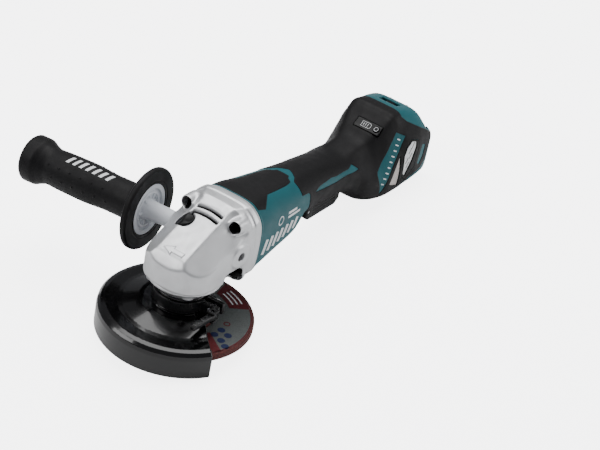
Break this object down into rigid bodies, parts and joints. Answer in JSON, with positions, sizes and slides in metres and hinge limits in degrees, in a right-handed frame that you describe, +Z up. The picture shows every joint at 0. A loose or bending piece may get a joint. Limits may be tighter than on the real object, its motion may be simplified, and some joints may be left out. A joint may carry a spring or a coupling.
{
  "type": "angle grinder",
  "caption": "Battery-powered angle grinder with a cast gear head, guarded depressed-centre wheel, side handle, paddle switch under a slim grip, and a slide-on battery mount.",
  "frame": {"origin": "centre of the end face of the threaded spindle nose", "axes": "+Z up along the spindle, +X back from the spindle to the battery end, +Y to the side handle"},
  "size_m": [0.3808, 0.2437, 0.12],
  "materials": {
    "cast_aluminium": "satin cast and coated",
    "teal_plastic": "fine grain moulded",
    "black_plastic": "fine grain moulded",
    "black_rubber": "soft touch",
    "white_plastic": "smooth moulded",
    "guard_paint": "gloss black",
    "black_steel": "black oxide",
    "steel": "ground",
    "abrasive": "coarse bonded grain",
    "label_paper": "printed paper",
    "nameplate_print": "printed film",
    "copper": "enamelled wire",
    "magnet": "nickel plated",
    "filter_mesh": "woven mesh",
    "contact_brass": "plated",
    "wire_cover": "smooth"
  },
  "bodies": {
    "housing": {"gear_housing": "cast_aluminium", "gear_housing_screws": "black_steel", "bearing_box": "cast_aluminium", "bearing_box_screws": "steel", "spindle_bearing": "steel", "needle_bearing": "steel", "bearing_retainer": "cast_aluminium", "front_motor_bearing": "steel", "rear_motor_bearing": "steel", "stator_core": "steel", "stator_coils": "copper", "motor_housing": "teal_plastic", "nameplate": "nameplate_print", "handle_shell_left": "teal_plastic", "handle_shell_right": "teal_plastic", "handle_skin_left": "black_rubber", "handle_skin_right": "black_rubber", "handle_screws": "steel", "dust_filter_left": "filter_mesh", "dust_filter_right": "filter_mesh", "gauge_panel": "black_plastic", "paddle_pin": "steel", "switch": "black_plastic", "controller": "black_plastic", "motor_wires": "wire_cover", "terminal_housing": "teal_plastic", "terminal_block": "black_plastic", "battery_terminals": "contact_brass", "dial_axle": "black_plastic", "side_handle_core": "white_plastic", "side_handle_stud": "steel", "side_handle_flange": "black_rubber", "side_handle_grip": "black_rubber"},
    "spindle": {"spindle": "steel", "bevel_gear": "steel", "inner_flange": "steel", "grinding_wheel": "abrasive", "wheel_ring": "steel", "wheel_label": "label_paper", "lock_nut": "steel"},
    "rotor": {"rotor_shaft": "steel", "pinion": "steel", "rotor_core": "steel", "rotor_magnets": "magnet", "fan": "black_plastic"},
    "guard": {"guard": "guard_paint", "clamp_band": "black_steel", "clamp_screw": "black_steel", "guard_lever_pin": "steel"},
    "guard_lever": {"guard_lever": "black_steel"},
    "shaft_lock": {"lock_button": "black_plastic", "lock_pin": "steel"},
    "paddle": {"paddle": "black_plastic", "lock_off_pin": "steel"},
    "lock_off_lever": {"lock_off_lever": "black_plastic"},
    "plunger": {"switch_plunger": "white_plastic"},
    "dial": {"speed_dial": "black_plastic"},
    "check_button": {"check_button": "black_rubber"}
  },
  "joints": [
    {"name": "spindle_turn", "type": "hinge", "parent": "housing", "child": "spindle", "pos_m": [0, 0, 0.04], "axis": [0, 0, 1], "continuous": true},
    {"name": "rotor_turn", "type": "hinge", "parent": "housing", "child": "rotor", "pos_m": [0.06, 0, 0.0715], "axis": [1, 0, 0], "continuous": true},
    {"name": "guard_turn", "type": "hinge", "parent": "housing", "child": "guard", "pos_m": [0, 0, 0.03], "axis": [0, 0, 1], "range_deg": [-180, 90]},
    {"name": "guard_lever_swing", "type": "hinge", "parent": "guard", "child": "guard_lever", "pos_m": [-0.00728, -0.03728, 0.029], "axis": [0, 0, 1], "range_deg": [0, 80]},
    {"name": "shaft_lock_press", "type": "slide", "parent": "housing", "child": "shaft_lock", "axis": [0, 0, -1], "range_m": [0, 0.004], "stiffness_N_per_m": 800, "springref_m": -0.001},
    {"name": "paddle_squeeze", "type": "hinge", "parent": "housing", "child": "paddle", "pos_m": [0.196, 0, 0.06], "axis": [0, 1, 0], "range_deg": [0, 4.4], "stiffness_Nm_per_rad": 3, "springref_deg": -1.72},
    {"name": "lock_off_pull", "type": "hinge", "parent": "paddle", "child": "lock_off_lever", "pos_m": [0.152, 0, 0.051], "axis": [0, -1, 0], "range_deg": [0, 30], "stiffness_Nm_per_rad": 0.02, "springref_deg": -8.59},
    {"name": "plunger_press", "type": "slide", "parent": "housing", "child": "plunger", "axis": [0, 0, 1], "range_m": [0, 0.0026]},
    {"name": "dial_turn", "type": "hinge", "parent": "housing", "child": "dial", "pos_m": [0.287, 0, 0.0965], "axis": [1, 0, 0], "range_deg": [-120, 120]},
    {"name": "check_button_press", "type": "slide", "parent": "housing", "child": "check_button", "axis": [0.5547, 0, -0.8321], "range_m": [0, 0.0005], "stiffness_N_per_m": 500, "springref_m": -0.0003}
  ],
  "couplings": [
    {"joint": "rotor_turn", "follows": "spindle_turn", "ratio": 3.4},
    {"joint": "plunger_press", "follows": "paddle_squeeze", "m_per_rad": 0.031}
  ]
}
